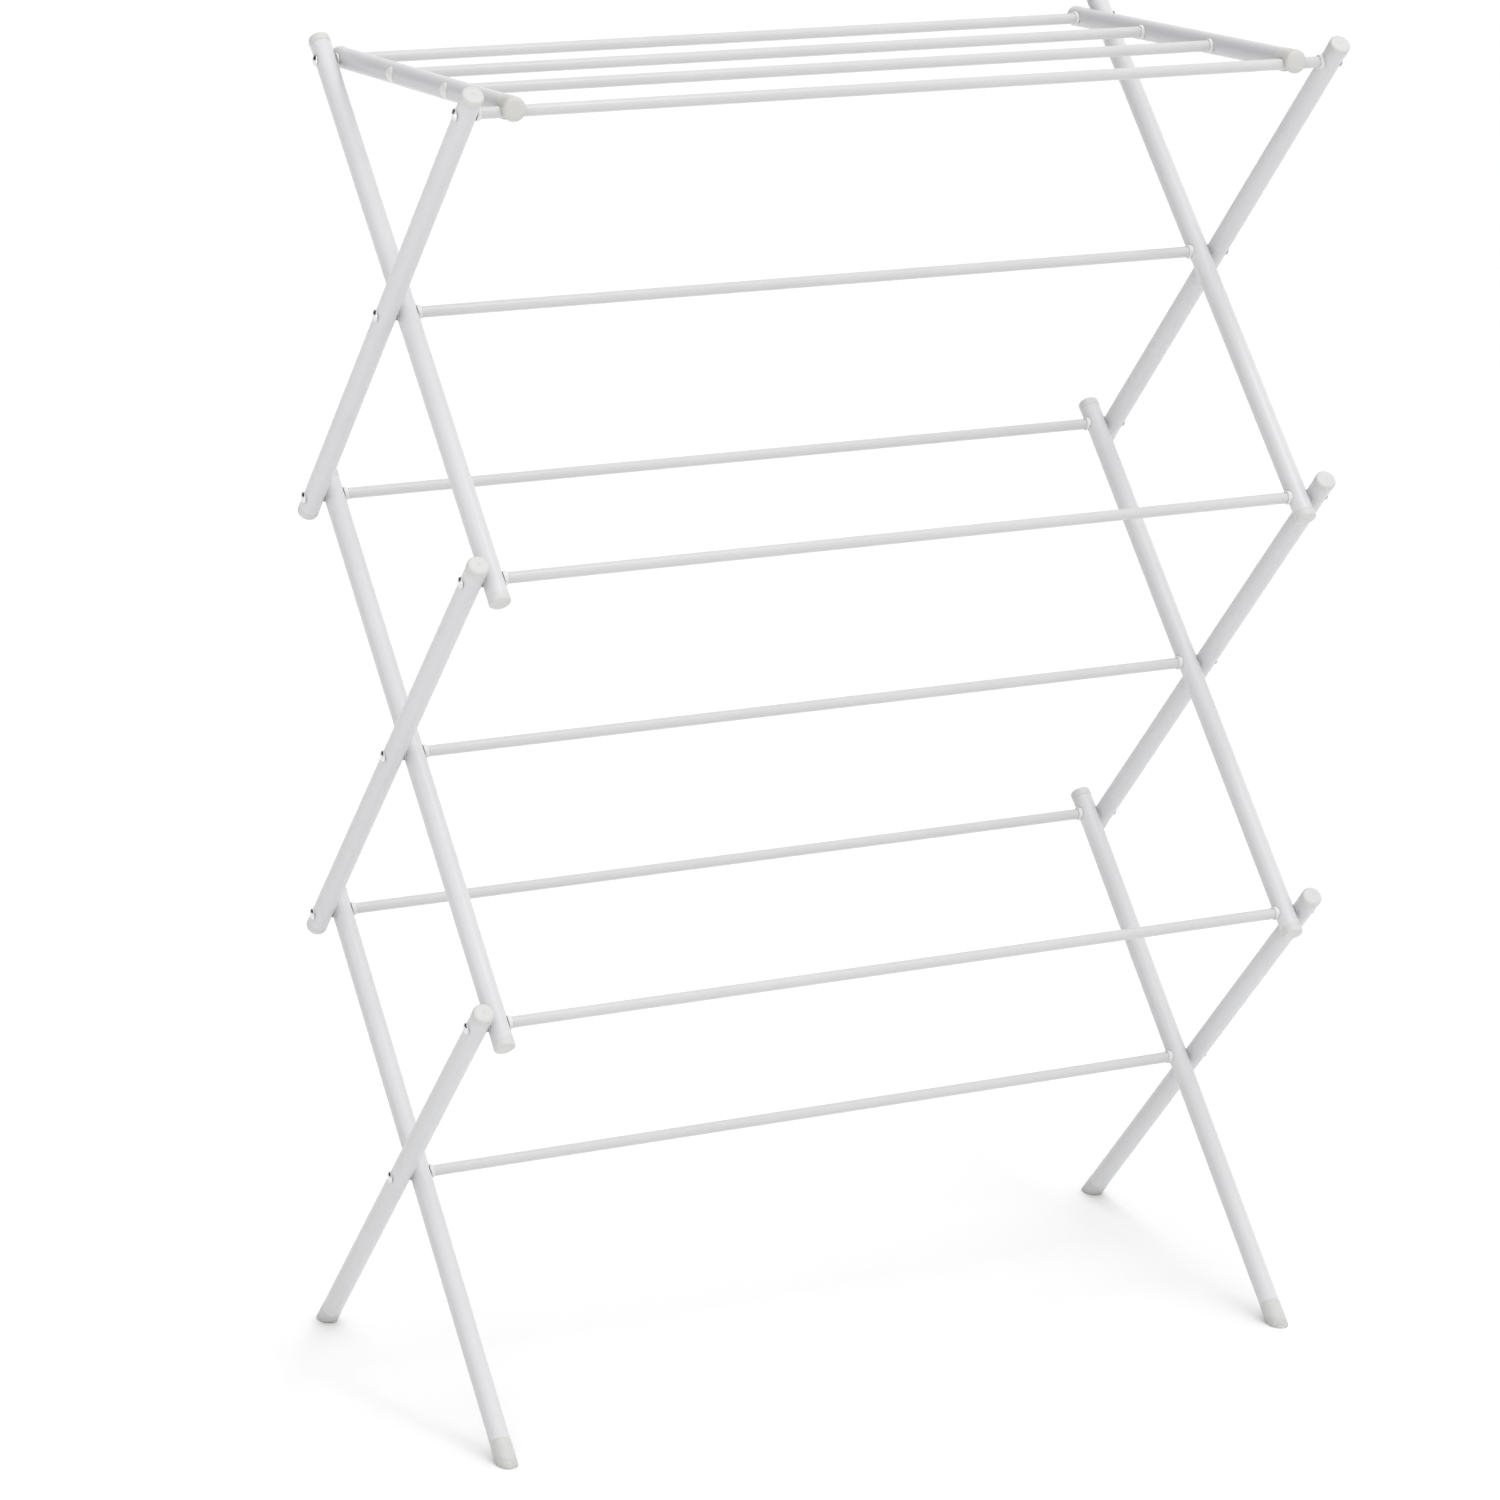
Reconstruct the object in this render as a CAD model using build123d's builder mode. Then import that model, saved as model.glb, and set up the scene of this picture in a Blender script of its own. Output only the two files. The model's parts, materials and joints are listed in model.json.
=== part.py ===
"""Folding clothes drying rack: three scissor tiers of round tube with a hooked top shelf.

X runs along the rods (left end is -X), -Y is the front, +Y the back and +Z is up.
The origin is on the floor, under the middle of the rack. All sizes are millimetres.

Each end of the rack holds three crossed pairs of legs. The outer leg of a pair leans from
the back foot to the front top, and the inner leg, just inboard of it, from the front foot
to the back top. Rods join the two ends at every crossing and at every joint between tiers.
"""
import os
from math import asin, atan2, cos, degrees, hypot, radians, sin, tan

from build123d import *

# Overall proportions
rack_width = 745.0       # over the screw heads
pivot_depth = 326.6      # front to back, between the leg pivots
tier_rise = 343.8        # height of one scissor tier, between its pivots
foot_rise = 9.5          # the lowest legs would pivot this far above the floor
leg_overhang = 22.0      # a leg runs on past its end pivots by this much

# Round tube for the legs and the shelf's side bars
leg_dia = 16.5
leg_wall = 0.7
leg_gap = 0.5            # between an outer leg and the inner leg beside it
bar_gap = 1.6            # between an inner leg and the shelf's side bar

# Thin tube for the rods
rod_dia = 8.7
rod_wall = 0.5

# Plastic caps and feet
cap_dia = 16.9
cap_head = 7.0
cap_round = 2.0
cap_stem = 7.0
foot_length = 19.0       # along the leg, from the tube's end to the floor
foot_stem = 12.0
fit_gap = 0.05           # radial, between a plug and the bore that it fills

# Screws, washers and the plugs in the rod ends
screw_dia = 5.0
screw_clearance = 0.05   # radial, so that the legs turn on the screws
screw_head_dia = 9.0
screw_head_height = 2.1
screw_head_round = 1.9
screw_head_gap = 0.1
screw_reach = 14.0       # how far the screw goes into its plug
washer_dia = 10.0
washer_gap = 0.05
plug_flange_dia = 11.0
plug_flange = 2.5
plug_stem = 18.0

# Top shelf: side bars hinged at the back and hooked over the front rod
bar_rear = 18.0          # the bars run on behind their hinge by this much
hook_drop = 3.0          # the front rod lies this far under the bars' axes
hook_radius = 9.25       # the cap is round about a line just under its bar's axis
hook_centre_drop = 0.75
hook_nose = 9.5          # from the front rod's axis to the cap's face
hook_length = 10.5       # from the front rod's axis back to the bar's end
hook_stem = 14.0
hook_play = 0.3          # radial, between the notch and the front rod
hook_lead = 25.0         # slope of the notch's back side, so that it lifts off freely
hook_mouth = 1.0         # the notch is cut on past the cap's underside by this much
hook_face_round = 3.5
hook_rear_round = 0.6
rivet_dia = 6.0
rivet_head_dia = 12.0
rivet_head_height = 1.2
rivet_head_round = 1.0

# Worked out from the sizes above
leg_radius = leg_dia / 2
leg_bore = leg_radius - leg_wall
rod_radius = rod_dia / 2
rod_bore = rod_radius - rod_wall
screw_radius = screw_dia / 2
screw_hole = screw_radius + screw_clearance
x_outer = rack_width / 2 - screw_head_height - screw_head_gap - leg_radius
x_inner = x_outer - leg_dia - leg_gap
x_bar = x_inner - leg_dia - bar_gap
pivot_span = hypot(pivot_depth, tier_rise)
lean = atan2(pivot_depth, tier_rise)
front_y = -pivot_depth / 2
back_y = pivot_depth / 2
sides = {"left": -1, "right": 1}
tiers = {"bottom": 0, "middle": 1, "top": 2}


def level(tiers_up):
    """Height of a row of pivots, counted in tiers above the feet."""
    return foot_rise + tiers_up * tier_rise


# Pivots in the end view, as (y, z)
shelf_hinge = (back_y, level(3))
front_hook = (front_y, level(3))
crossing = {tier: (0, level(t + 0.5)) for tier, t in tiers.items()}
front_joint = {"upper": (front_y, level(2)), "lower": (front_y, level(1))}
back_joint = {"upper": (back_y, level(2)), "lower": (back_y, level(1))}

# The shelf's bars slope up by a hair, because the front rod lies under their axes
shelf_slope = asin(hook_drop / pivot_depth)
hook_reach = pivot_depth * cos(shelf_slope)


def end_plane(x, y=0, z=0, outward=1):
    """A plane square to the rods, facing +X, or -X where outward is -1."""
    return Plane(origin=(x, y, z), x_dir=(0, outward, 0), z_dir=(outward, 0, 0))


def leg_plane(kind, x, tier, along):
    """A plane square to a leg, `along` mm up the leg from its low pivot, facing up the leg."""
    way = 1 if kind == "inner" else -1
    y = -way * pivot_depth / 2 + way * along * sin(lean)
    z = level(tiers[tier]) + along * cos(lean)
    return Plane(origin=(x, y, z), x_dir=(1, 0, 0), z_dir=(0, way * sin(lean), cos(lean)))


def flipped(plane):
    """The same plane, facing the other way."""
    return Plane(origin=plane.origin, x_dir=plane.x_dir, z_dir=-plane.z_dir)


def shelf_point(along):
    """The point (y, z) on the bars' axes that is `along` mm in front of the hinge."""
    return back_y - along * cos(shelf_slope), level(3) + along * sin(shelf_slope)


def shelf_plane(x, along):
    """A plane square to the shelf's bars, `along` mm in front of the hinge, facing forwards."""
    forwards = (0, -cos(shelf_slope), sin(shelf_slope))
    return Plane(origin=(x, *shelf_point(along)), x_dir=(1, 0, 0), z_dir=forwards)


def shelf_side_plane(x):
    """The shelf's side view: local x runs forwards along the bar and local y runs up."""
    forwards = (0, -cos(shelf_slope), sin(shelf_slope))
    return Plane(origin=(x, back_y, level(3)), x_dir=forwards, z_dir=(-1, 0, 0))


os.makedirs("parts", exist_ok=True)


# ---------------------------------------------------------------- legs
leg_x = {"outer": x_outer, "inner": x_inner}
tube_top = pivot_span + leg_overhang - cap_head
tube_low = -leg_overhang + cap_head
floor_along = -foot_rise / cos(lean)
foot_top = floor_along + foot_length

for kind, x_leg in leg_x.items():
    for tier, steps in tiers.items():
        start = foot_top if tier == "bottom" else tube_low
        way = 1 if kind == "inner" else -1
        pivots = [crossing[tier], (way * back_y, level(steps + 1))]
        if tier != "bottom":
            pivots.append((way * front_y, level(steps)))
        for side, sign in sides.items():
            node = f"leg_{kind}_{tier}_{side}"
            with BuildPart() as leg:
                with BuildSketch(leg_plane(kind, sign * x_leg, tier, start)):
                    Circle(leg_radius)
                    Circle(leg_bore, mode=Mode.SUBTRACT)
                extrude(amount=tube_top - start)
                with BuildSketch(end_plane(sign * x_leg)):
                    with Locations(*pivots):
                        Circle(screw_hole)
                extrude(amount=leg_dia, both=True, mode=Mode.SUBTRACT)
            leg.part.label = node
            export_step(leg.part, f"parts/{node}.step")


# ---------------------------------------------------------------- caps on the tube ends
def make_end_caps(node, mouths):
    """Rounded caps with stems inside the tubes. Each mouth faces out of a tube's end."""
    with BuildPart() as caps:
        for mouth in mouths:
            with BuildSketch(mouth):
                Circle(cap_dia / 2)
            extrude(amount=cap_head)
            rim = edges(Select.LAST).sort_by(Axis(mouth.origin, mouth.z_dir))[-1]
            fillet(rim, radius=cap_round)
            with BuildSketch(mouth):
                Circle(leg_bore - fit_gap)
            extrude(amount=-cap_stem)
    caps.part.label = node
    export_step(caps.part, f"parts/{node}.step")


for kind, x_leg in leg_x.items():
    for tier in tiers:
        tops = [leg_plane(kind, sign * x_leg, tier, tube_top) for sign in sides.values()]
        make_end_caps(f"leg_caps_{kind}_{tier}_upper", tops)
        if tier != "bottom":
            lows = [flipped(leg_plane(kind, sign * x_leg, tier, tube_low)) for sign in sides.values()]
            make_end_caps(f"leg_caps_{kind}_{tier}_lower", lows)

bar_start = cap_head - bar_rear
rears = [flipped(shelf_plane(sign * x_bar, bar_start)) for sign in sides.values()]
make_end_caps("shelf_rear_caps", rears)


# ---------------------------------------------------------------- feet
for kind, place in {"inner": "front", "outer": "back"}.items():
    for side, sign in sides.items():
        node = f"foot_{place}_{side}"
        mouth = flipped(leg_plane(kind, sign * leg_x[kind], "bottom", foot_top))
        with BuildPart() as foot:
            with BuildSketch(mouth):
                Circle(cap_dia / 2)
            extrude(amount=2 * foot_length)
            split(bisect_by=Plane.XY, keep=Keep.TOP)
            with BuildSketch(mouth):
                Circle(leg_bore - fit_gap)
            extrude(amount=-foot_stem)
        foot.part.label = node
        export_step(foot.part, f"parts/{node}.step")


# ---------------------------------------------------------------- rods
plug_face_inner = x_inner - leg_radius            # the legs' inboard sides
plug_face_outer = x_outer - leg_radius
plug_face_bar = x_bar - leg_radius
plug_face_hinge = plug_face_bar - screw_head_gap  # clear of the bars, which turn beside it

rods = {f"rod_crossing_{tier}": (spot, plug_face_inner) for tier, spot in crossing.items()}
rods |= {f"rod_front_{row}": (spot, plug_face_inner) for row, spot in front_joint.items()}
rods |= {f"rod_back_{row}": (spot, plug_face_inner) for row, spot in back_joint.items()}
rods["rod_top_front"] = (front_hook, plug_face_outer)
rods["rod_shelf_hinge"] = (shelf_hinge, plug_face_hinge)
rods["rod_shelf_back"] = (shelf_point(hook_reach / 3), plug_face_bar)
rods["rod_shelf_front"] = (shelf_point(2 * hook_reach / 3), plug_face_bar)

for node, (spot, face) in rods.items():
    half_length = face - plug_flange
    with BuildPart() as rod:
        with BuildSketch(end_plane(-half_length, *spot)):
            Circle(rod_radius)
            Circle(rod_bore, mode=Mode.SUBTRACT)
        extrude(amount=2 * half_length)
    rod.part.label = node
    export_step(rod.part, f"parts/{node}.step")


# ---------------------------------------------------------------- plugs in the rod ends
def make_plugs(node, spots, face):
    """Flanged plugs, bored for their screws. The flanges bear on the tubes at x = face."""
    with BuildPart() as plugs:
        for spot in spots:
            for sign in sides.values():
                inwards = end_plane(sign * face, *spot, outward=-sign)
                with BuildSketch(inwards):
                    Circle(plug_flange_dia / 2)
                extrude(amount=plug_flange)
                with BuildSketch(inwards.offset(plug_flange)):
                    Circle(rod_bore - fit_gap)
                extrude(amount=plug_stem)
                with BuildSketch(inwards):
                    Circle(screw_hole)
                extrude(amount=plug_flange + plug_stem, mode=Mode.SUBTRACT)
    plugs.part.label = node
    export_step(plugs.part, f"parts/{node}.step")


# The pivots whose rods each moving frame carries
frame_pivots = {
    "inner_top": [crossing["top"], front_joint["upper"]],
    "inner_middle": [back_joint["upper"], crossing["middle"], front_joint["lower"]],
    "inner_bottom": [back_joint["lower"], crossing["bottom"]],
}
for frame, spots in frame_pivots.items():
    make_plugs(f"plugs_{frame}", spots, plug_face_inner)
make_plugs("plugs_top_front", [front_hook], plug_face_outer)
make_plugs("plugs_shelf_hinge", [shelf_hinge], plug_face_hinge)

# A shelf rod's plugs run on through the side bars, to low round heads on the outside
with BuildPart() as plugs_shelf_rods:
    for spot in (shelf_point(hook_reach / 3), shelf_point(2 * hook_reach / 3)):
        for sign in sides.values():
            inwards = end_plane(sign * plug_face_bar, *spot, outward=-sign)
            outwards = end_plane(sign * plug_face_bar, *spot, outward=sign)
            with BuildSketch(inwards):
                Circle(plug_flange_dia / 2)
            extrude(amount=plug_flange)
            with BuildSketch(inwards.offset(plug_flange)):
                Circle(rod_bore - fit_gap)
            extrude(amount=plug_stem)
            with BuildSketch(outwards):
                Circle(rivet_dia / 2)
            extrude(amount=leg_dia)
            with BuildSketch(outwards.offset(leg_dia)):
                Circle(rivet_head_dia / 2)
            extrude(amount=rivet_head_height)
            rim = edges(Select.LAST).sort_by(Axis(outwards.origin, outwards.z_dir))[-1]
            fillet(rim, radius=rivet_head_round)
plugs_shelf_rods.part.label = "plugs_shelf_rods"
export_step(plugs_shelf_rods.part, "parts/plugs_shelf_rods.step")


# ---------------------------------------------------------------- screws and washers
def make_screws(node, spots, under_head, face):
    """Domed screws from x = under_head through the tubes and into the plugs at x = face."""
    with BuildPart() as screws:
        for spot in spots:
            for sign in sides.values():
                outwards = end_plane(sign * under_head, *spot, outward=sign)
                with BuildSketch(outwards):
                    Circle(screw_head_dia / 2)
                extrude(amount=screw_head_height)
                rim = edges(Select.LAST).sort_by(Axis(outwards.origin, outwards.z_dir))[-1]
                fillet(rim, radius=screw_head_round)
                with BuildSketch(outwards):
                    Circle(screw_radius)
                extrude(amount=face - under_head - screw_reach)
    screws.part.label = node
    export_step(screws.part, f"parts/{node}.step")


def make_washers(node, spots, inner_x, outer_x):
    """Washers that fill the gap between two tubes, from inner_x to outer_x."""
    with BuildPart() as washers:
        for spot in spots:
            for sign in sides.values():
                with BuildSketch(end_plane(sign * (inner_x + washer_gap), *spot, outward=sign)):
                    Circle(washer_dia / 2)
                    Circle(screw_hole, mode=Mode.SUBTRACT)
                extrude(amount=outer_x - inner_x - 2 * washer_gap)
    washers.part.label = node
    export_step(washers.part, f"parts/{node}.step")


head_on_outer = x_outer + leg_radius + screw_head_gap
head_on_inner = x_inner + leg_radius + screw_head_gap
for frame, spots in frame_pivots.items():
    make_screws(f"screws_{frame}", spots, head_on_outer, plug_face_inner)
    make_washers(f"washers_{frame}", spots, x_inner + leg_radius, x_outer - leg_radius)
make_screws("screws_top_front", [front_hook], head_on_outer, plug_face_outer)
make_screws("screws_shelf_hinge", [shelf_hinge], head_on_inner, plug_face_hinge)
make_washers("washers_shelf_hinge", [shelf_hinge], x_bar + leg_radius, x_inner - leg_radius)


# ---------------------------------------------------------------- shelf side bars and hooks
bar_end = hook_reach - hook_length
notch = rod_radius + hook_play
mouth_drop = hook_centre_drop + hook_radius + hook_mouth
lead_in = (mouth_drop - hook_drop) * tan(radians(hook_lead))

for side, sign in sides.items():
    x = sign * x_bar
    node = f"shelf_bar_{side}"
    with BuildPart() as bar:
        with BuildSketch(shelf_plane(x, bar_start)):
            Circle(leg_radius)
            Circle(leg_bore, mode=Mode.SUBTRACT)
        extrude(amount=bar_end - bar_start)
        with BuildSketch(shelf_side_plane(x)):
            Circle(screw_hole)
            with Locations((hook_reach / 3, 0), (2 * hook_reach / 3, 0)):
                Circle(rivet_dia / 2 + fit_gap)
        extrude(amount=leg_dia, both=True, mode=Mode.SUBTRACT)
    bar.part.label = node
    export_step(bar.part, f"parts/{node}.step")

    node = f"hook_cap_{side}"
    forwards = Axis(shelf_plane(x, bar_end).origin, shelf_plane(x, bar_end).z_dir)
    with BuildPart() as hook:
        with BuildSketch(shelf_plane(x, bar_end)):
            with Locations((0, -hook_centre_drop)):
                Circle(hook_radius)
        extrude(amount=hook_length + hook_nose)
        fillet(hook.edges().sort_by(forwards)[-1], radius=hook_face_round)
        fillet(hook.edges().sort_by(forwards)[0], radius=hook_rear_round)
        with BuildSketch(shelf_side_plane(x)):
            with Locations((hook_reach, -hook_drop)):
                Circle(notch)
            with BuildLine():
                Polyline(
                    (hook_reach - notch, -hook_drop),
                    (hook_reach + notch, -hook_drop),
                    (hook_reach + notch, -mouth_drop),
                    (hook_reach - notch - lead_in, -mouth_drop),
                    close=True,
                )
            make_face()
        extrude(amount=2 * hook_radius, both=True, mode=Mode.SUBTRACT)
        with BuildSketch(shelf_plane(x, bar_end)):
            Circle(leg_bore - fit_gap)
        extrude(amount=-hook_stem)
    hook.part.label = node
    export_step(hook.part, f"parts/{node}.step")

print("leg lean", round(degrees(lean), 3), "shelf slope", round(degrees(shelf_slope), 3))
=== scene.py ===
"""Folding clothes drying rack: white coated tubes, moulded caps and bright screws, for every pose.

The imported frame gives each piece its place. Lengths are in metres. X runs along the rods, with the
left end at -X, the front is -Y and +Z is up.
"""
import json
from math import cos, pi, radians, sin, sqrt, tan

import bmesh
import bpy
from mathutils import Matrix, Vector


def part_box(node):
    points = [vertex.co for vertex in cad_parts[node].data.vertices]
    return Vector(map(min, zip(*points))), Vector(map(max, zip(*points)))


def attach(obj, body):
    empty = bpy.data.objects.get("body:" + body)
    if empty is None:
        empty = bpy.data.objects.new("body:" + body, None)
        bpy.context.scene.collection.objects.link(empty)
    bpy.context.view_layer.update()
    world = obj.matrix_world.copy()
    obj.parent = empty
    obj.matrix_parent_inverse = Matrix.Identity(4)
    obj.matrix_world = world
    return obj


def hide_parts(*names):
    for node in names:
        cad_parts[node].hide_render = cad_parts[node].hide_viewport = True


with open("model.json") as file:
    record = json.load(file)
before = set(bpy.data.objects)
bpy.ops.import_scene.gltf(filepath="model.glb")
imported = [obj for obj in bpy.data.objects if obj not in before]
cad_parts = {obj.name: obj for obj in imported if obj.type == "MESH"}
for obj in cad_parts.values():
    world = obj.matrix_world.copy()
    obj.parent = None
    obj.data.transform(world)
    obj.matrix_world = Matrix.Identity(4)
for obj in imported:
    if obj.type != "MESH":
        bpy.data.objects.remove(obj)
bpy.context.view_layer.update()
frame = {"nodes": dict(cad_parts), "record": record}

mm = 0.001

# Sizes that the frame's boxes don't give
tube_wall = 0.7 * mm
rod_wall = 0.5 * mm
cut_rim = 0.25 * mm             # rounding of a cut tube's rim
hole_margin = 2                 # loops this many radii each side of a hole keep its cut local
pin_overrun = 1.0 * mm          # a hole's cutter goes on past the tube by this much
moulded_edge = 0.3 * mm         # rounding of a moulded piece's small edges
cap_head = 7.0 * mm
cap_radius = 8.45 * mm
cap_round = 2.0 * mm
cap_crown = 0.35 * mm           # rise of the face from its rim to its middle
cap_stem = 7.0 * mm
gate_radius = 1.1 * mm          # the dimple where the mould was filled
gate_depth = 0.25 * mm
gate_floor = 0.8                # the dimple's floor, as a share of its mouth
stem_wall = 1.6 * mm
rib_height = 0.3 * mm
rib_pitch = 2.2 * mm
foot_stem = 12.0 * mm
sole_round = 0.8 * mm
sole_rim = 2.2 * mm
sole_recess = 0.7 * mm
flange_radius = 5.5 * mm
flange_thickness = 2.5 * mm
flange_round = 0.6 * mm
plug_stem = 18.0 * mm
plug_tip_inset = 0.4 * mm       # how far the stem's tip is in from its full radius
plug_lead_in = 1.0 * mm
plug_bore_edge = 0.15 * mm
screw_radius = 2.5 * mm
screw_hole = 2.55 * mm
screw_head_radius = 4.5 * mm
screw_head_height = 2.1 * mm
screw_head_rim = 0.55 * mm
screw_dome_round = 0.25 * mm
screw_seat_round = 0.12 * mm
screw_point = 0.6               # the blunt point, as a share of the shank's radius
screw_reach = 14.0 * mm
thread_depth = 0.35 * mm
thread_pitch = 1.0 * mm
thread_length = 10.0 * mm
washer_radius = 5.0 * mm
washer_gap = 0.05 * mm
rivet_radius = 3.0 * mm
rivet_head_radius = 6.0 * mm
rivet_head_height = 1.2 * mm
rivet_dome = 0.5 * mm           # rise of the head's face
rivet_dome_round = 0.6 * mm
rivet_seat_round = 0.1 * mm
fit_gap = 0.05 * mm
saddle_gap = 0.04 * mm
flange_saddle = 0.6             # how far a flange follows its leg's curve
hook_drop = 3.0 * mm            # the front rod's centre under the bars' axes
hook_radius = 9.25 * mm
hook_centre_drop = 0.75 * mm
hook_nose = 9.5 * mm            # from the front rod's centre to the cap's face
hook_length = 10.5 * mm         # from the front rod's centre back to the bar's end
hook_stem = 14.0 * mm
hook_play = 0.3 * mm            # between the front rod and the top of the notch
notch_slack = 1.2 * mm          # the notch is wider than the rod by this much all round
hook_lead = 25.0                # degrees
hook_face_round = 3.5 * mm
hook_rear_round = 0.6 * mm
notch_edge = 0.35 * mm
notch_run_out = 1.0 * mm        # the notch is cut on past the cap's underside
stem_lead_in = 1.5 * mm
stem_overlap = 1.0 * mm         # how far the stem runs into the cap before the two are joined

# How finely shapes are made
turn_steps = 72
round_steps = 4
arc_step = 6.0                  # degrees
weld_distance = 0.001 * mm
sharp_angle = 38.0              # degrees, from which an edge is left sharp
soft_angle = 50.0               # degrees, from which the hook's edges are rounded


# ---------------------------------------------------------------- places, from the frame
def middle(node):
    """The middle of a CAD node's box."""
    low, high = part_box(node)
    return (low + high) / 2


def half_width(node):
    """Half of a CAD node's size along X."""
    low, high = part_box(node)
    return (high.x - low.x) / 2


sides = {"left": -1, "right": 1}
tiers = ("bottom", "middle", "top")

tube_radius = half_width("leg_outer_top_left")
tube_bore = tube_radius - tube_wall
rod_low, rod_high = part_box("rod_top_front")
rod_radius = (rod_high.z - rod_low.z) / 2
rod_bore = rod_radius - rod_wall

x_legs = {
    "outer": abs(middle("leg_outer_top_left").x),
    "inner": abs(middle("leg_inner_top_left").x),
}
x_bar = abs(middle("shelf_bar_left").x)

hinge_spot = middle("rod_shelf_hinge")
front_spot = middle("rod_top_front")
crossing_spots = {tier: middle(f"rod_crossing_{tier}") for tier in tiers}
front_spots = {"upper": middle("rod_front_upper"), "lower": middle("rod_front_lower")}
back_spots = {"upper": middle("rod_back_upper"), "lower": middle("rod_back_lower")}
shelf_spots = [middle("rod_shelf_back"), middle("rod_shelf_front")]

leg_ways = {
    "inner": (hinge_spot - front_spots["upper"]).normalized(),
    "outer": (front_spot - back_spots["upper"]).normalized(),
}
bar_way = (shelf_spots[1] - shelf_spots[0]).normalized()
up = Vector((-1, 0, 0)).cross(bar_way)          # square to the shelf's bars

body_of = {node: body for body, nodes in frame["record"]["behaviour"]["bodies"].items() for node in nodes}


# ---------------------------------------------------------------- materials
def new_finish(name):
    """A node material and its shader."""
    finish = bpy.data.materials.new(name)
    finish.use_nodes = True
    return finish, finish.node_tree, finish.node_tree.nodes["Principled BSDF"]


def grain(tree, scale, detail=3.0, roughness=0.5, stretch=(1, 1, 1)):
    """Noise on the piece's own coordinates, from 0 to 1."""
    places = tree.nodes.new("ShaderNodeTexCoord")
    mapping = tree.nodes.new("ShaderNodeMapping")
    mapping.inputs["Scale"].default_value = stretch
    noise = tree.nodes.new("ShaderNodeTexNoise")
    noise.inputs["Scale"].default_value = scale
    noise.inputs["Detail"].default_value = detail
    noise.inputs["Roughness"].default_value = roughness
    tree.links.new(places.outputs["Object"], mapping.inputs["Vector"])
    tree.links.new(mapping.outputs["Vector"], noise.inputs["Vector"])
    return noise.outputs["Fac"]


def height_above_floor(tree, low, high):
    """0 at height `low` and 1 at height `high`, in the piece's own coordinates."""
    places = tree.nodes.new("ShaderNodeTexCoord")
    split = tree.nodes.new("ShaderNodeSeparateXYZ")
    tree.links.new(places.outputs["Object"], split.inputs["Vector"])
    return spread(tree, split.outputs["Z"], 0.0, 1.0, low, high)


def spread(tree, value, low, high, start=0.3, end=0.7):
    """Maps a value from start..end to low..high, held at both ends."""
    node = tree.nodes.new("ShaderNodeMapRange")
    node.inputs["From Min"].default_value = start
    node.inputs["From Max"].default_value = end
    node.inputs["To Min"].default_value = low
    node.inputs["To Max"].default_value = high
    tree.links.new(value, node.inputs["Value"])
    return node.outputs["Result"]


def times(tree, first, second):
    """The product of two values."""
    node = tree.nodes.new("ShaderNodeMath")
    node.operation = "MULTIPLY"
    tree.links.new(first, node.inputs[0])
    tree.links.new(second, node.inputs[1])
    return node.outputs["Value"]


def blend_colours(tree, share, first, second):
    """One colour where share is 0, the other where it is 1. Either may be a colour or a socket."""
    node = tree.nodes.new("ShaderNodeMix")
    node.data_type = "RGBA"
    tree.links.new(share, node.inputs["Factor"])
    for socket, colour in ((node.inputs["A"], first), (node.inputs["B"], second)):
        if isinstance(colour, tuple):
            socket.default_value = (*colour, 1.0)
        else:
            tree.links.new(colour, socket)
    return node.outputs["Result"]


def relief(tree, shader, layers):
    """Fine relief from (value, depth in metres) layers."""
    under = None
    for value, depth in layers:
        bump = tree.nodes.new("ShaderNodeBump")
        bump.inputs["Strength"].default_value = 1.0
        bump.inputs["Distance"].default_value = depth
        tree.links.new(value, bump.inputs["Height"])
        if under:
            tree.links.new(under, bump.inputs["Normal"])
        under = bump.outputs["Normal"]
    tree.links.new(under, shader.inputs["Normal"])


def powder_coat(name, colour, dusty, peel_scale, peel_depth):
    """White powder coat: orange peel, an uneven gloss and faint handling marks."""
    finish, tree, shader = new_finish(name)
    clouds = spread(tree, grain(tree, 9, 2), 0.0, 1.0)
    smudges = spread(tree, grain(tree, 26, 2), 0.0, 0.3, 0.58, 0.75)
    shade = blend_colours(tree, clouds, colour, dusty)
    worn = tuple(0.97 * part for part in dusty)
    shade = blend_colours(tree, smudges, shade, worn)
    tree.links.new(shade, shader.inputs["Base Color"])
    gloss = spread(tree, grain(tree, 60, 1), 0.23, 0.27)
    tree.links.new(gloss, shader.inputs["Roughness"])
    shader.inputs["Specular IOR Level"].default_value = 0.3
    peel = grain(tree, peel_scale, 2)
    relief(tree, shader, [(peel, peel_depth)])
    return finish


def moulded(name, colour, shadowed, roughness, depth, soft=0.08):
    """Moulded plastic: a sparked mould's texture, faint flow marks and some depth to the light."""
    finish, tree, shader = new_finish(name)
    flow = spread(tree, grain(tree, 70, 3, 0.5, (1, 1, 0.4)), 0.0, 1.0)
    tree.links.new(blend_colours(tree, flow, colour, shadowed), shader.inputs["Base Color"])
    sheen = spread(tree, grain(tree, 300, 2), roughness - 0.05, roughness + 0.06)
    tree.links.new(sheen, shader.inputs["Roughness"])
    shader.inputs["Subsurface Weight"].default_value = soft
    shader.inputs["Subsurface Radius"].default_value = (1.0 * mm, 0.9 * mm, 0.8 * mm)
    shader.inputs["Subsurface Scale"].default_value = 1.0
    relief(tree, shader, [(grain(tree, 1800, 3), depth), (grain(tree, 240, 2), 2 * depth)])
    return finish


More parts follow.
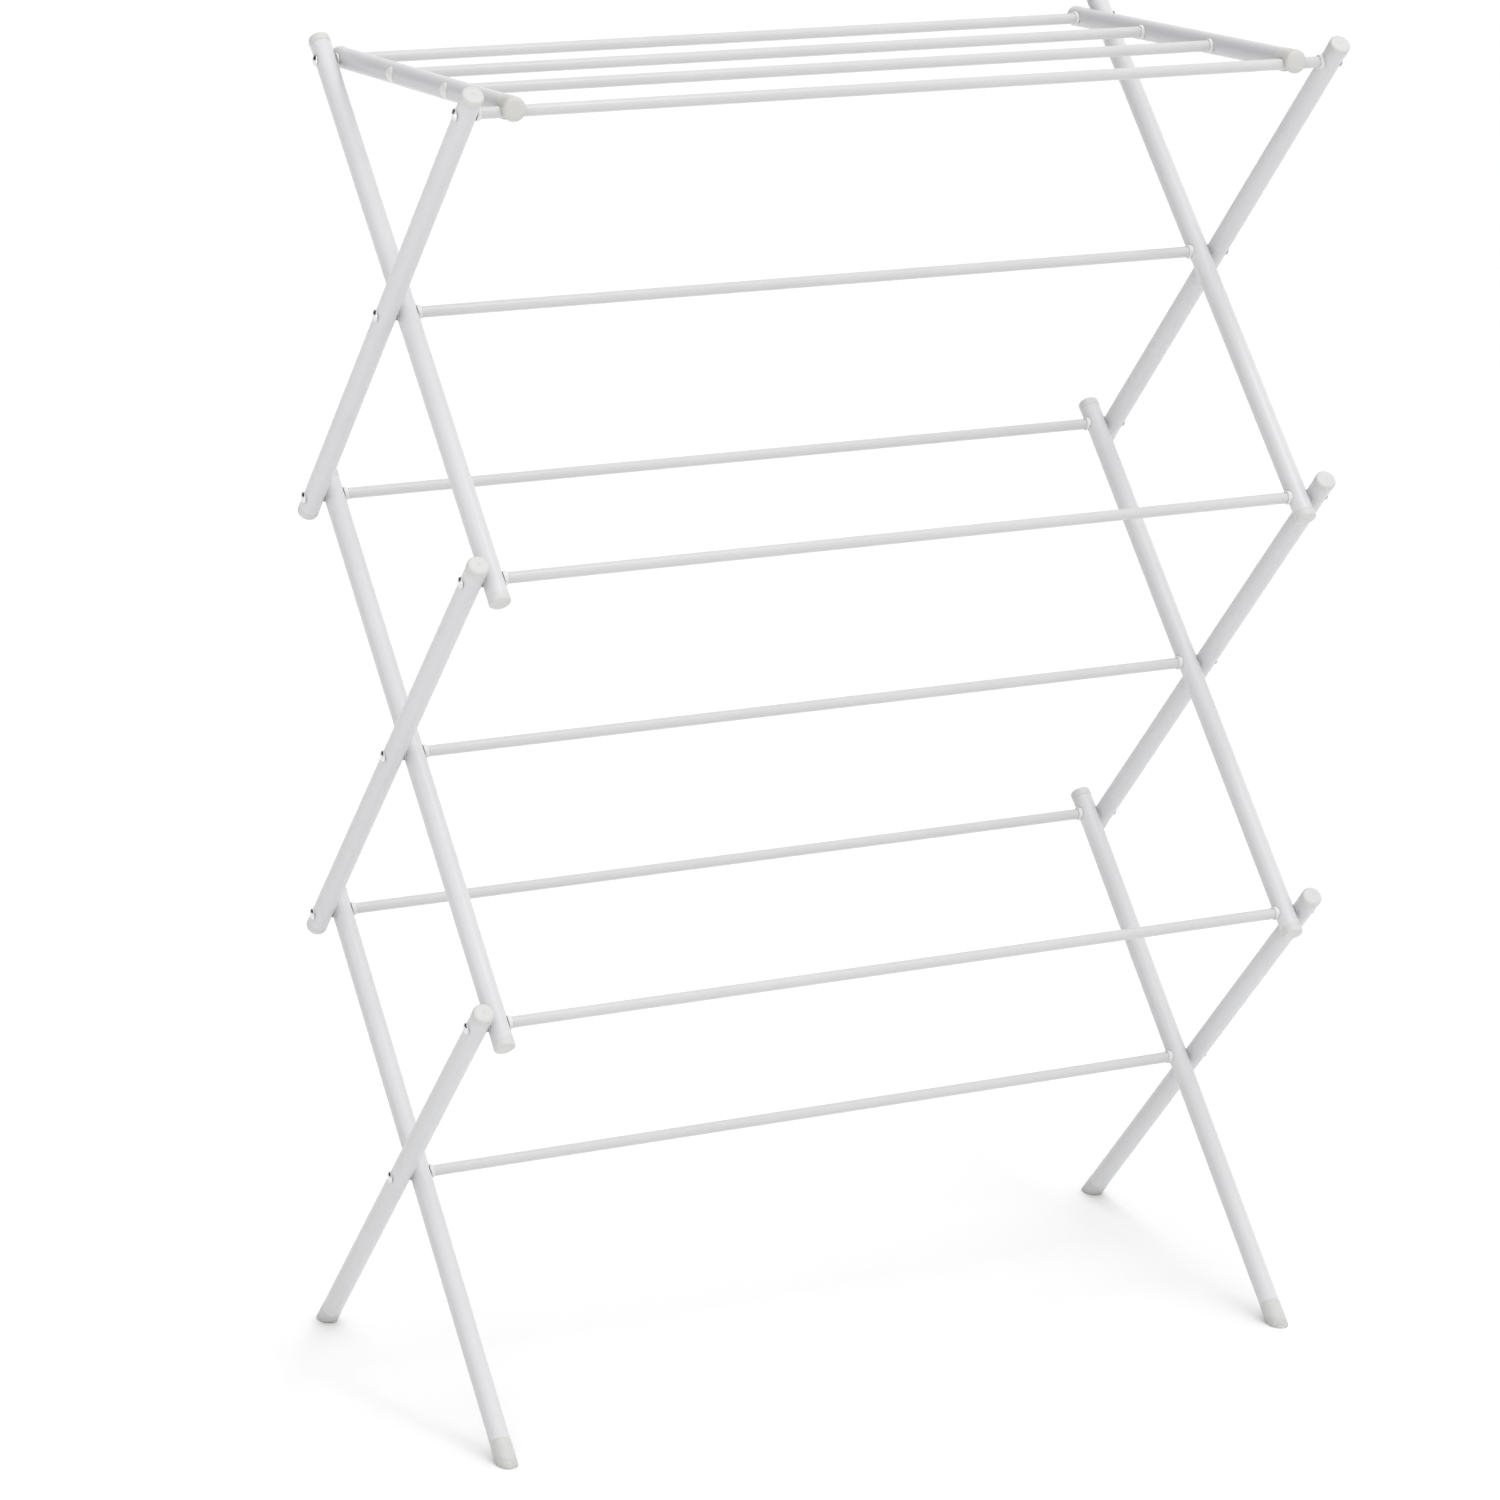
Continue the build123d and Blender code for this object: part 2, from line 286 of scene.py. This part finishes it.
def grimy_foot_with_painted_shade(name, colour, shadowed, grime_and_shade):
    """Foot plastic that darkens and roughens towards the floor: painted contact shade near the floor,
    broken into patches of dirt.
    """
    finish, tree, shader = new_finish(name)
    flow = spread(tree, grain(tree, 70, 3), 0.0, 1.0)
    clean = blend_colours(tree, flow, colour, shadowed)
    # Painted shade: over the lowest 9 mm the colour darkens in patches towards the grime colour. This
    # stands in for the floor's contact shadow as well as dirt.
    near_floor = height_above_floor(tree, 9 * mm, 0.0)
    patches = spread(tree, grain(tree, 420, 5, 0.65), 0.15, 1.0, 0.38, 0.68)
    dirt_and_shade = times(tree, near_floor, patches)
    tree.links.new(blend_colours(tree, dirt_and_shade, clean, grime_and_shade), shader.inputs["Base Color"])
    tree.links.new(spread(tree, dirt_and_shade, 0.42, 0.7, 0.0, 1.0), shader.inputs["Roughness"])
    relief(tree, shader, [(grain(tree, 1500, 3), 0.02 * mm), (patches, 0.03 * mm)])
    return finish


def bright_plate(name, colour, dulled):
    """Bright plated steel with hairline marks."""
    finish, tree, shader = new_finish(name)
    shader.inputs["Metallic"].default_value = 1.0
    haze = spread(tree, grain(tree, 500, 4), 0.0, 1.0)
    tree.links.new(blend_colours(tree, haze, colour, dulled), shader.inputs["Base Color"])
    hairlines = grain(tree, 2500, 2, 0.5, (1, 1, 0.08))
    tree.links.new(spread(tree, hairlines, 0.07, 0.2), shader.inputs["Roughness"])
    relief(tree, shader, [(hairlines, 0.002 * mm)])
    return finish


finishes = {
    "tube_paint": powder_coat(
        "tube powder coat", (0.638, 0.639, 0.649), (0.622, 0.623, 0.633), 900, 0.005 * mm,
    ),
    # A darker copy of the tube powder coat: its lower tone is painted shade on the shelf's side tubes.
    "shaded_shelf_tube_paint": powder_coat(
        "shelf tube powder coat darkened for shade", (0.568, 0.568, 0.580), (0.554, 0.554, 0.566), 900, 0.005 * mm,
    ),
    "rod_paint": powder_coat(
        "rod powder coat", (0.602, 0.600, 0.601), (0.582, 0.580, 0.581), 1100, 0.004 * mm,
    ),
    "cap_plastic": moulded(
        "cap polyethylene", (0.605, 0.604, 0.596), (0.590, 0.589, 0.580), 0.42, 0.006 * mm,
    ),
    # The foot's last colour is the painted contact shade and dirt near the floor.
    "foot_plastic": grimy_foot_with_painted_shade(
        "foot polyethylene", (0.58, 0.58, 0.57), (0.555, 0.555, 0.543), (0.38, 0.37, 0.35),
    ),
    "hook_plastic": moulded(
        "hook polypropylene", (0.580, 0.575, 0.555), (0.567, 0.561, 0.541), 0.42, 0.006 * mm,
    ),
    "plug_nylon": moulded(
        "white nylon", (0.70, 0.70, 0.69), (0.68, 0.68, 0.67), 0.34, 0.005 * mm, 0.12,
    ),
    "screw_chrome": bright_plate("bright plated steel", (0.80, 0.80, 0.81), (0.70, 0.70, 0.71)),
}


# ---------------------------------------------------------------- shaping tools
def turned(outline):
    """A shape turned about +Z. The outline is (radius, height, rounding) corners, in order.

    An outline that starts off the axis is closed on itself, as a tube's wall is.
    """
    shape = bmesh.new()
    corners = [shape.verts.new((radius, 0, height)) for radius, height, _ in outline]
    for first, second in zip(corners, corners[1:]):
        shape.edges.new((first, second))
    if outline[0][0] > 0:
        shape.edges.new((corners[-1], corners[0]))
    for corner, (_, _, rounding) in zip(corners, outline):
        if rounding:
            bmesh.ops.bevel(
                shape, geom=[corner], offset=rounding, offset_type="OFFSET", affect="VERTICES",
                segments=round_steps, profile=0.5, material=-1, clamp_overlap=False,
            )
    bmesh.ops.spin(
        shape, geom=shape.verts[:] + shape.edges[:], cent=(0, 0, 0), axis=(0, 0, 1),
        angle=2 * pi, steps=turn_steps, use_merge=True,
    )
    bmesh.ops.remove_doubles(shape, verts=shape.verts, dist=weld_distance)
    bmesh.ops.recalc_face_normals(shape, faces=shape.faces)
    return shape


def placed(shape, origin, way):
    """Moves a shape made about +Z: its start goes to `origin` and +Z to `way`."""
    turn = Vector(way).to_track_quat("Z", "Y").to_matrix().to_4x4()
    bmesh.ops.transform(shape, matrix=Matrix.Translation(origin) @ turn, verts=shape.verts)
    return shape


def joined(shapes):
    """Several shapes as one mesh, each still a closed shell of its own."""
    whole = bmesh.new()
    for shape in shapes:
        part = bpy.data.meshes.new("part")
        shape.to_mesh(part)
        shape.free()
        whole.from_mesh(part)
        bpy.data.meshes.remove(part)
    return whole


def as_object(shape, name):
    """A mesh object from a shape, with its place in its mesh."""
    mesh = bpy.data.meshes.new(name)
    shape.to_mesh(mesh)
    shape.free()
    thing = bpy.data.objects.new(name, mesh)
    bpy.context.scene.collection.objects.link(thing)
    return thing


def combined(shape, other, operation):
    """Two shapes as one solid: one cut from the other, or both together."""
    solid, tool = as_object(shape, "solid"), as_object(other, "tool")
    cut = solid.modifiers.new("cut", "BOOLEAN")
    cut.operation = operation
    cut.solver = "EXACT"
    cut.object = tool
    ready = solid.evaluated_get(bpy.context.evaluated_depsgraph_get())
    result = bmesh.new()
    result.from_mesh(ready.to_mesh())
    ready.to_mesh_clear()
    for thing in (solid, tool):
        mesh = thing.data
        bpy.data.objects.remove(thing)
        bpy.data.meshes.remove(mesh)
    return result


def cut_away(shape, cutter):
    """The shape with the cutter's volume taken out."""
    return combined(shape, cutter, "DIFFERENCE")


def with_added(shape, other):
    """Both shapes as one solid."""
    return combined(shape, other, "UNION")


def finished(shape, name, node, slot, finish=None):
    """Makes the piece, gives it its finish, and lets it ride and stand for its CAD node.

    finish names a finish of its own, where the slot has more than one.
    """
    piece = as_object(shape, name)
    piece.data.materials.append(finishes[finish or slot])
    for face in piece.data.polygons:
        face.use_smooth = True
    piece.data.set_sharp_from_angle(angle=radians(sharp_angle))
    weighted = piece.modifiers.new("even shading", "WEIGHTED_NORMAL")
    weighted.keep_sharp = True
    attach(piece, body_of[node])
    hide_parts(node)
    return piece


# ---------------------------------------------------------------- tubes and rods
def pipe(length, radius, wall, loops=()):
    """A tube from 0 to length along +Z, with rounded rims and extra loops at the heights given."""
    inner = radius - wall
    outline = [(radius, 0, cut_rim)]
    outline += [(radius, height, 0) for height in sorted(loops)]
    outline += [(radius, length, cut_rim), (inner, length, cut_rim)]
    outline += [(inner, height, 0) for height in sorted(loops, reverse=True)]
    outline += [(inner, 0, cut_rim)]
    return turned(outline)


def cross_pin(spot, x, radius, reach):
    """A round cutter along X, centred on x."""
    pin = turned([(0, 0, 0), (radius, 0, 0), (radius, 2 * reach, 0), (0, 2 * reach, 0)])
    return placed(pin, (x - reach, spot.y, spot.z), (1, 0, 0))


def tube_ends(node, x, way, spot):
    """The two ends of a square-cut tube's axis, which runs along `way` through `spot` at x."""
    low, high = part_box(node)
    axis = 1 if abs(way.y) > abs(way.z) else 2
    # The rim reaches past the axis's end by this much
    overhang = tube_radius * sqrt(1 - way[axis] ** 2)
    limits = [low[axis] + overhang, high[axis] - overhang]
    if way[axis] < 0:
        limits.reverse()
    centre = Vector((x, spot.y, spot.z))
    return [centre + (limit - spot[axis]) / way[axis] * way for limit in limits]


def bored_tube(node, x, way, holes):
    """A square-cut tube with holes of (spot, radius) across it."""
    start, end = tube_ends(node, x, way, holes[0][0])
    loops = []
    for hole, radius in holes:
        centre = (Vector((x, hole.y, hole.z)) - start).dot(way)
        loops += [centre - hole_margin * radius, centre + hole_margin * radius]
    tube = placed(pipe((end - start).length, tube_radius, tube_wall, loops), start, way)
    reach = tube_radius + pin_overrun
    pins = joined(cross_pin(hole, x, radius, reach) for hole, radius in holes)
    return cut_away(tube, pins)


leg_pivots = {
    "inner": {
        "bottom": [crossing_spots["bottom"], back_spots["lower"]],
        "middle": [front_spots["lower"], crossing_spots["middle"], back_spots["upper"]],
        "top": [front_spots["upper"], crossing_spots["top"], hinge_spot],
    },
    "outer": {
        "bottom": [crossing_spots["bottom"], front_spots["lower"]],
        "middle": [back_spots["lower"], crossing_spots["middle"], front_spots["upper"]],
        "top": [back_spots["upper"], crossing_spots["top"], front_spot],
    },
}


def make_legs():
    """Twelve leg tubes, each bored for its screws."""
    for kind, x_leg in x_legs.items():
        for tier in tiers:
            holes = [(spot, screw_hole) for spot in leg_pivots[kind][tier]]
            for side, sign in sides.items():
                node = f"leg_{kind}_{tier}_{side}"
                tube = bored_tube(node, sign * x_leg, leg_ways[kind], holes)
                finished(tube, f"{kind}_leg_tube_{tier}_{side}", node, "tube_paint")


def make_shelf_bars():
    """The shelf's two side tubes, bored for the hinge screws and the riveted plugs."""
    holes = [(hinge_spot, screw_hole)]
    holes += [(spot, rivet_radius + fit_gap) for spot in shelf_spots]
    for side, sign in sides.items():
        node = f"shelf_bar_{side}"
        tube = bored_tube(node, sign * x_bar, bar_way, holes)
        # The side tubes take the darker copy of the tube coat, which is painted shade.
        finished(tube, f"shelf_side_tube_{side}", node, "tube_paint", "shaded_shelf_tube_paint")


def make_rods():
    """The thin tubes that washing hangs on."""
    nodes = [node for node in frame["nodes"] if node.startswith("rod_")]
    for node in sorted(nodes):
        half_length = half_width(node)
        rod = pipe(2 * half_length, rod_radius, rod_wall)
        spot = middle(node)
        placed(rod, (-half_length, spot.y, spot.z), (1, 0, 0))
        finished(rod, f"hanging_{node}", node, "rod_paint")


# ---------------------------------------------------------------- end caps and feet
def crowned(radius, low, high, rounding, shares=(1, 0.7, 0.5, 0.3)):
    """Corners of a gently domed face, from its rim at `low` in towards its middle at `high`."""
    rise = high - low
    ball = (radius ** 2 + rise ** 2) / (2 * rise)
    corners = []
    for share in shares:
        out = share * radius
        height = high - ball + sqrt(ball ** 2 - out ** 2)
        corners.append((out, height, rounding if share == 1 else 0))
    return corners


def rib(inner, outer, height):
    """Corners of one rounded rib, which stands out from `inner` to `outer`."""
    corners = [(inner, height, 0), (outer, height + rib_height, 0)]
    return corners + [(outer, height + 3 * rib_height, 0), (inner, height + 4 * rib_height, 0)]


def ribbed_stem(length):
    """Corners of a hollow stem from its middle, down the inside and up its ribbed outside to height 0."""
    radius = tube_bore - fit_gap
    inside = radius - stem_wall
    corners = [(0, -stem_wall, 0), (inside, -stem_wall, moulded_edge), (inside, -length, moulded_edge)]
    corners += [(radius - rib_height, -length, moulded_edge)]
    height = -length + rib_pitch
    while height < -rib_pitch:
        corners += rib(radius - rib_height, radius, height)
        height += rib_pitch
    return corners + [(radius, 0, 0)]


def end_cap(mouth, way):
    """A rounded cap on a tube's mouth, with its gate dimple and its stem inside the tube."""
    face = crowned(cap_radius, cap_head - cap_crown, cap_head, cap_round)
    outline = ribbed_stem(cap_stem) + [(cap_radius, 0, moulded_edge)] + face
    outline += [(gate_radius, cap_head, 0), (gate_floor * gate_radius, cap_head - gate_depth, 0)]
    outline += [(0, cap_head - gate_depth, 0)]
    return placed(turned(outline), mouth, way)


def foot(mouth, way):
    """A foot on a tube's mouth, cut level with the floor, with a recess in its sole."""
    length = 1.5 * mouth.z / abs(way.z)          # past the floor on every side
    outline = ribbed_stem(foot_stem) + [(cap_radius, 0, moulded_edge)]
    outline += [(cap_radius, length, 0), (0, length, 0)]
    shape = placed(turned(outline), mouth, way)
    everything = shape.verts[:] + shape.edges[:] + shape.faces[:]
    cut = bmesh.ops.bisect_plane(
        shape, geom=everything, plane_co=(0, 0, 0), plane_no=(0, 0, -1), clear_outer=True,
    )
    edges = [part for part in cut["geom_cut"] if isinstance(part, bmesh.types.BMEdge)]
    sole = bmesh.ops.contextual_create(shape, geom=edges)["faces"]
    bmesh.ops.recalc_face_normals(shape, faces=shape.faces)
    bmesh.ops.inset_region(shape, faces=sole, thickness=sole_rim)
    bmesh.ops.inset_region(shape, faces=sole, thickness=0.5 * sole_recess, depth=-sole_recess)
    outer = [edge for edge in edges if edge.is_valid]
    bmesh.ops.bevel(
        shape, geom=outer, offset=sole_round, offset_type="OFFSET", affect="EDGES",
        segments=round_steps, profile=0.5, material=-1, clamp_overlap=True,
    )
    return shape


def make_caps_and_feet():
    """A cap on each open tube's end, and a foot on each of the four lowest ends."""
    for kind, x_leg in x_legs.items():
        way = leg_ways[kind]
        for tier in tiers:
            spot = leg_pivots[kind][tier][0]
            uppers, lowers = [], []
            for side, sign in sides.items():
                low, high = tube_ends(f"leg_{kind}_{tier}_{side}", sign * x_leg, way, spot)
                uppers.append(end_cap(high, way))
                if tier == "bottom":
                    place = "front" if kind == "inner" else "back"
                    tip = foot(low, -way)
                    finished(tip, f"{place}_foot_tip_{side}", f"foot_{place}_{side}", "foot_plastic")
                else:
                    lowers.append(end_cap(low, -way))
            name = f"{kind}_leg_end_caps_{tier}"
            node = f"leg_caps_{kind}_{tier}"
            finished(joined(uppers), f"{name}_upper", f"{node}_upper", "cap_plastic")
            if lowers:
                finished(joined(lowers), f"{name}_lower", f"{node}_lower", "cap_plastic")
    rears = []
    for side, sign in sides.items():
        start, _ = tube_ends(f"shelf_bar_{side}", sign * x_bar, bar_way, hinge_spot)
        rears.append(end_cap(start, -bar_way))
    finished(joined(rears), "shelf_tube_rear_end_caps", "shelf_rear_caps", "cap_plastic")


# ---------------------------------------------------------------- plugs, screws and washers
def on_both_sides(make, x, spots):
    """A shape at each end of each spot's line, facing outwards from x and from -x."""
    shapes = []
    for spot in spots:
        for sign in sides.values():
            shapes.append(placed(make(), (sign * x, spot.y, spot.z), (sign, 0, 0)))
    return joined(shapes)


def grooves(radius, depth, start, pitch, count):
    """Corners of ring grooves along a shaft, upwards from start."""
    corners = []
    for turn in range(count):
        height = start + turn * pitch
        corners += [(radius, height, 0), (radius - depth, height + 0.5 * pitch, 0)]
    return corners + [(radius, start + count * pitch, 0)]


def plug_stem_corners(foot_height, top_height):
    """The outside of a plug's stem, from its far end at foot_height to the flange."""
    radius = rod_bore - fit_gap
    corners = [(radius - plug_tip_inset, foot_height, moulded_edge)]
    corners += [(radius - 0.5 * plug_tip_inset, foot_height + plug_lead_in, 0)]
    height = foot_height + 3 * plug_lead_in
    while height < top_height - rib_pitch:
        corners += rib(radius - 0.5 * rib_height, radius, height)
        height += rib_pitch
    return corners + [(radius, top_height, 0)]


flange_corners = [
    (flange_radius, -flange_thickness, flange_round),
    (flange_radius, 0, 0.5 * flange_round),
]


def bored_plug():
    """A flanged plug for a rod's end, with the flange's face at 0 and its stem below."""
    end = -flange_thickness - plug_stem
    outline = [(screw_hole, 0, plug_bore_edge), (screw_hole, end, 0)]
    return turned(outline + plug_stem_corners(end, -flange_thickness) + flange_corners)


def riveted_plug():
    """A shelf rod's plug, whose shank runs on through the side tube to a low head."""
    end = -flange_thickness - plug_stem
    outside = 2 * tube_radius
    outline = [(0, end, 0)] + plug_stem_corners(end, -flange_thickness) + flange_corners
    outline += [(rivet_radius, 0, 0), (rivet_radius, outside, 0)]
    outline += [(rivet_head_radius, outside, rivet_seat_round)]
    top = outside + rivet_head_height
    shares = (1, 0.8, 0.6, 0.4, 0.2)
    outline += crowned(rivet_head_radius, top - rivet_dome, top, rivet_dome_round, shares)
    return turned(outline + [(0, top, 0)])


def saddled(shape, x_from, x_to, spots, way, outwards, share=1.0):
    """Bends the stretch from x_from to x_to, at both ends, round a tube that runs along `way`.

    outwards is 1 for a face inboard of its tube and -1 for one outboard of it.
    """
    across = Vector((1, 0, 0)).cross(way)
    for point in shape.verts:
        if x_from - weld_distance <= abs(point.co.x) <= x_to + weld_distance:
            spot = min(spots, key=lambda place: (place.yz - point.co.yz).length)
            offset = (point.co - spot).dot(across)
            depth = tube_radius - sqrt(tube_radius ** 2 - offset ** 2) - saddle_gap
            shift = outwards * share * depth
            if outwards * shift > 0:
                point.co.x += shift if point.co.x > 0 else -shift


def domed_screw(shank):
    """A screw whose head sits on 0, with its shank below."""
    rings = int(thread_length / thread_pitch)
    outline = [(0, -shank, 0), (screw_point * screw_radius, -shank, 0)]
    outline += grooves(screw_radius, thread_depth, -shank + thread_pitch, thread_pitch, rings)
    outline += [(screw_radius, 0, 0), (screw_head_radius, 0, screw_seat_round)]
    shares = (1, 0.85, 0.7, 0.55, 0.4, 0.25, 0.1)
    top = screw_head_height
    outline += crowned(screw_head_radius, screw_head_rim, top, screw_dome_round, shares)
    return turned(outline + [(0, top, 0)])


def washer(thickness):
    """A flat ring from 0 to its thickness."""
    edge = 0.25 * thickness
    outline = [(screw_hole, 0, 0), (screw_hole, thickness, 0)]
    outline += [(washer_radius, thickness, edge), (washer_radius, 0, edge)]
    return turned(outline)


pivot_rods = {
    "inner_top": ["rod_crossing_top", "rod_front_upper"],
    "inner_middle": ["rod_back_upper", "rod_crossing_middle", "rod_front_lower"],
    "inner_bottom": ["rod_back_lower", "rod_crossing_bottom"],
    "top_front": ["rod_top_front"],
    "shelf_hinge": ["rod_shelf_hinge"],
}


def make_pivots():
    """The plugs, screws and washers of every pivot, and the shelf rods' riveted plugs."""
    for pivot, rods in pivot_rods.items():
        spots = [middle(rod) for rod in rods]
        face = half_width(rods[0]) + flange_thickness
        plugs = on_both_sides(bored_plug, face, spots)
        if pivot != "shelf_hinge":
            way = leg_ways["outer" if pivot == "top_front" else "inner"]
            saddled(plugs, face - flange_round, face, spots, way, 1, flange_saddle)
        finished(plugs, f"rod_end_plugs_{pivot}", f"plugs_{pivot}", "plug_nylon")

        under_head = half_width(f"screws_{pivot}") - screw_head_height
        shank = under_head - face + screw_reach
        screws = on_both_sides(lambda: domed_screw(shank), under_head, spots)
        finished(screws, f"pivot_screws_{pivot}", f"screws_{pivot}", "screw_chrome")

        node = f"washers_{pivot}"
        if node in frame["nodes"]:
            x_tube = x_bar if pivot == "shelf_hinge" else x_legs["inner"]
            start = x_tube + tube_radius + washer_gap
            washers = on_both_sides(lambda: washer(half_width(node) - start), start, spots)
            finished(washers, f"spacer_{node}", node, "plug_nylon")

    face = half_width("rod_shelf_front") + flange_thickness
    plugs = on_both_sides(riveted_plug, face, shelf_spots)
    outside = face + 2 * tube_radius
    saddled(plugs, outside, outside + rivet_head_height, shelf_spots, bar_way, -1)
    finished(plugs, "riveted_plugs_shelf", "plugs_shelf_rods", "plug_nylon")


# ---------------------------------------------------------------- hooks
def arc(centre, radius, start, end):
    """Points round a centre, from one angle to another in degrees."""
    steps = max(2, round(abs(end - start) / arc_step))
    turns = [radians(start + (end - start) * step / steps) for step in range(steps + 1)]
    return [(centre[0] + radius * cos(turn), centre[1] + radius * sin(turn)) for turn in turns]


def slab(outline, origin, width):
    """A side view of (forwards, up) points as a slab across X, centred on the origin."""
    shape = bmesh.new()
    side = Vector((-width / 2, 0, 0))
    points = [shape.verts.new(origin + side + ahead * bar_way + rise * up) for ahead, rise in outline]
    face = shape.faces.new(points)
    grown = bmesh.ops.extrude_face_region(shape, geom=[face])["geom"]
    moved = [part for part in grown if isinstance(part, bmesh.types.BMVert)]
    bmesh.ops.translate(shape, verts=moved, vec=(width, 0, 0))
    bmesh.ops.recalc_face_normals(shape, faces=shape.faces)
    return shape


def hook_shape(bar_end):
    """A round hook cap, open underneath for the front rod, and its stem in the tube."""
    axis = bar_end - hook_centre_drop * up
    length = hook_length + hook_nose
    outline = [(0, 0, 0), (hook_radius, 0, hook_rear_round)]
    outline += crowned(hook_radius, length - cap_crown, length, hook_face_round, (1, 0.5, 0.25))
    block = placed(turned(outline + [(0, length, 0)]), axis, bar_way)

    notch = rod_radius + notch_slack
    centre = -hook_drop - notch_slack + hook_play
    bottom = -hook_radius - hook_centre_drop - notch_run_out
    lead_in = (centre - bottom) * tan(radians(hook_lead))
    mouth = [(-notch - lead_in, bottom)]
    mouth += arc((0, centre), notch, 180, 0)
    mouth += [(notch, bottom)]
    block = cut_away(block, slab(mouth, bar_end + hook_length * bar_way, 3 * hook_radius))

    stem = tube_bore - fit_gap
    root = hook_stem + stem_overlap
    outline = [(0, 0, 0), (stem - rib_height, 0, moulded_edge), (stem, stem_lead_in, 0)]
    pin = turned(outline + [(stem, root, 0), (0, root, 0)])
    placed(pin, bar_end - hook_stem * bar_way, bar_way)
    return with_added(block, pin)


def make_hooks():
    """A hook cap on the front end of each side tube, its moulded edges softened."""
    for side, sign in sides.items():
        _, end = tube_ends(f"shelf_bar_{side}", sign * x_bar, bar_way, hinge_spot)
        node = f"hook_cap_{side}"
        piece = finished(hook_shape(end), f"front_hook_{side}", node, "hook_plastic")
        softened = piece.modifiers.new("moulded edges", "BEVEL")
        softened.width = notch_edge
        softened.segments = 3
        softened.limit_method = "ANGLE"
        softened.angle_limit = radians(soft_angle)
        softened.use_clamp_overlap = True
        piece.modifiers.move(1, 0)


make_legs()
make_shelf_bars()
make_rods()
make_caps_and_feet()
make_pivots()
make_hooks()


# ---------------------------------------------------------------- stage, light and camera
def make_floor():
    """A wide white floor."""
    finish, tree, shader = new_finish("studio floor")
    shader.inputs["Base Color"].default_value = (0.93, 0.93, 0.93, 1)
    shader.inputs["Roughness"].default_value = 0.9
    shader.inputs["Specular IOR Level"].default_value = 0.1
    shape = bmesh.new()
    bmesh.ops.create_grid(shape, x_segments=1, y_segments=1, size=60)
    floor = as_object(shape, "floor")
    floor.data.materials.append(finish)


def towards(azimuth, elevation):
    """A direction from the rack. Azimuth 0 is to the front and 90 to the right."""
    turn, rise = radians(azimuth), radians(elevation)
    return Vector((sin(turn) * cos(rise), -cos(turn) * cos(rise), sin(rise)))


def make_sun(name, energy, spread_angle, azimuth, elevation):
    """A soft light from far away."""
    light = bpy.data.lights.new(name, "SUN")
    light.energy = energy
    light.angle = radians(spread_angle)
    lamp = bpy.data.objects.new(name, light)
    lamp.rotation_mode = "QUATERNION"
    lamp.rotation_quaternion = towards(azimuth, elevation).to_track_quat("Z", "Y")
    bpy.context.scene.collection.objects.link(lamp)


def make_softbox(name, power, size, distance, azimuth, elevation):
    """A square light that faces the rack's upper half."""
    light = bpy.data.lights.new(name, "AREA")
    light.energy = power
    light.size = size
    lamp = bpy.data.objects.new(name, light)
    way = towards(azimuth, elevation)
    aim = Vector((0, 0, 0.7))
    lamp.location = aim + distance * way
    lamp.rotation_mode = "QUATERNION"
    lamp.rotation_quaternion = way.to_track_quat("Z", "Y")
    lamp.visible_camera = False
    bpy.context.scene.collection.objects.link(lamp)


def make_sky(level, dimmed, azimuth, elevation):
    """An even white studio with one dim stretch, which gives bright metal its dark reflections."""
    world = bpy.data.worlds.new("studio")
    world.use_nodes = True
    tree = world.node_tree
    places = tree.nodes.new("ShaderNodeTexCoord")
    nearness = tree.nodes.new("ShaderNodeVectorMath")
    nearness.operation = "DOT_PRODUCT"
    nearness.inputs[1].default_value = towards(azimuth, elevation)
    tree.links.new(places.outputs["Generated"], nearness.inputs[0])
    rim, core = 0.55, 0.95          # nearness at which the sky starts to dim, and is dimmest
    strength = spread(tree, nearness.outputs["Value"], level, dimmed, rim, core)
    background = tree.nodes["Background"]
    background.inputs["Color"].default_value = (1, 1, 1, 1)
    tree.links.new(strength, background.inputs["Strength"])
    bpy.context.scene.world = world


def make_camera():
    """A long lens, high in front of the rack and to its left."""
    camera = bpy.data.cameras.new("camera")
    camera.sensor_width = 36
    camera.lens = 120.6
    camera.clip_end = 200
    eye = bpy.data.objects.new("camera", camera)
    eye.location = (-1.7229, -3.4969, 1.5356)
    heading, tilt, roll = radians(25.47), radians(-15.04), radians(0.15)
    forward = Vector((cos(tilt) * sin(heading), cos(tilt) * cos(heading), sin(tilt)))
    eye.rotation_mode = "QUATERNION"
    turn = Matrix.Rotation(roll, 3, "Z").to_quaternion()
    eye.rotation_quaternion = (-forward).to_track_quat("Z", "Y") @ turn
    bpy.context.scene.collection.objects.link(eye)
    bpy.context.scene.camera = eye


make_floor()
make_sun("overhead", 0.7, 60, 0, 80)
make_softbox("key", 3.5, 0.3, 2.2, 30, 62)
make_softbox("left fill", 1.2, 0.8, 1.2, -85, 15)
make_sky(1.06, 0.05, -128, 22)
make_camera()
bpy.context.scene.view_settings.view_transform = "Standard"
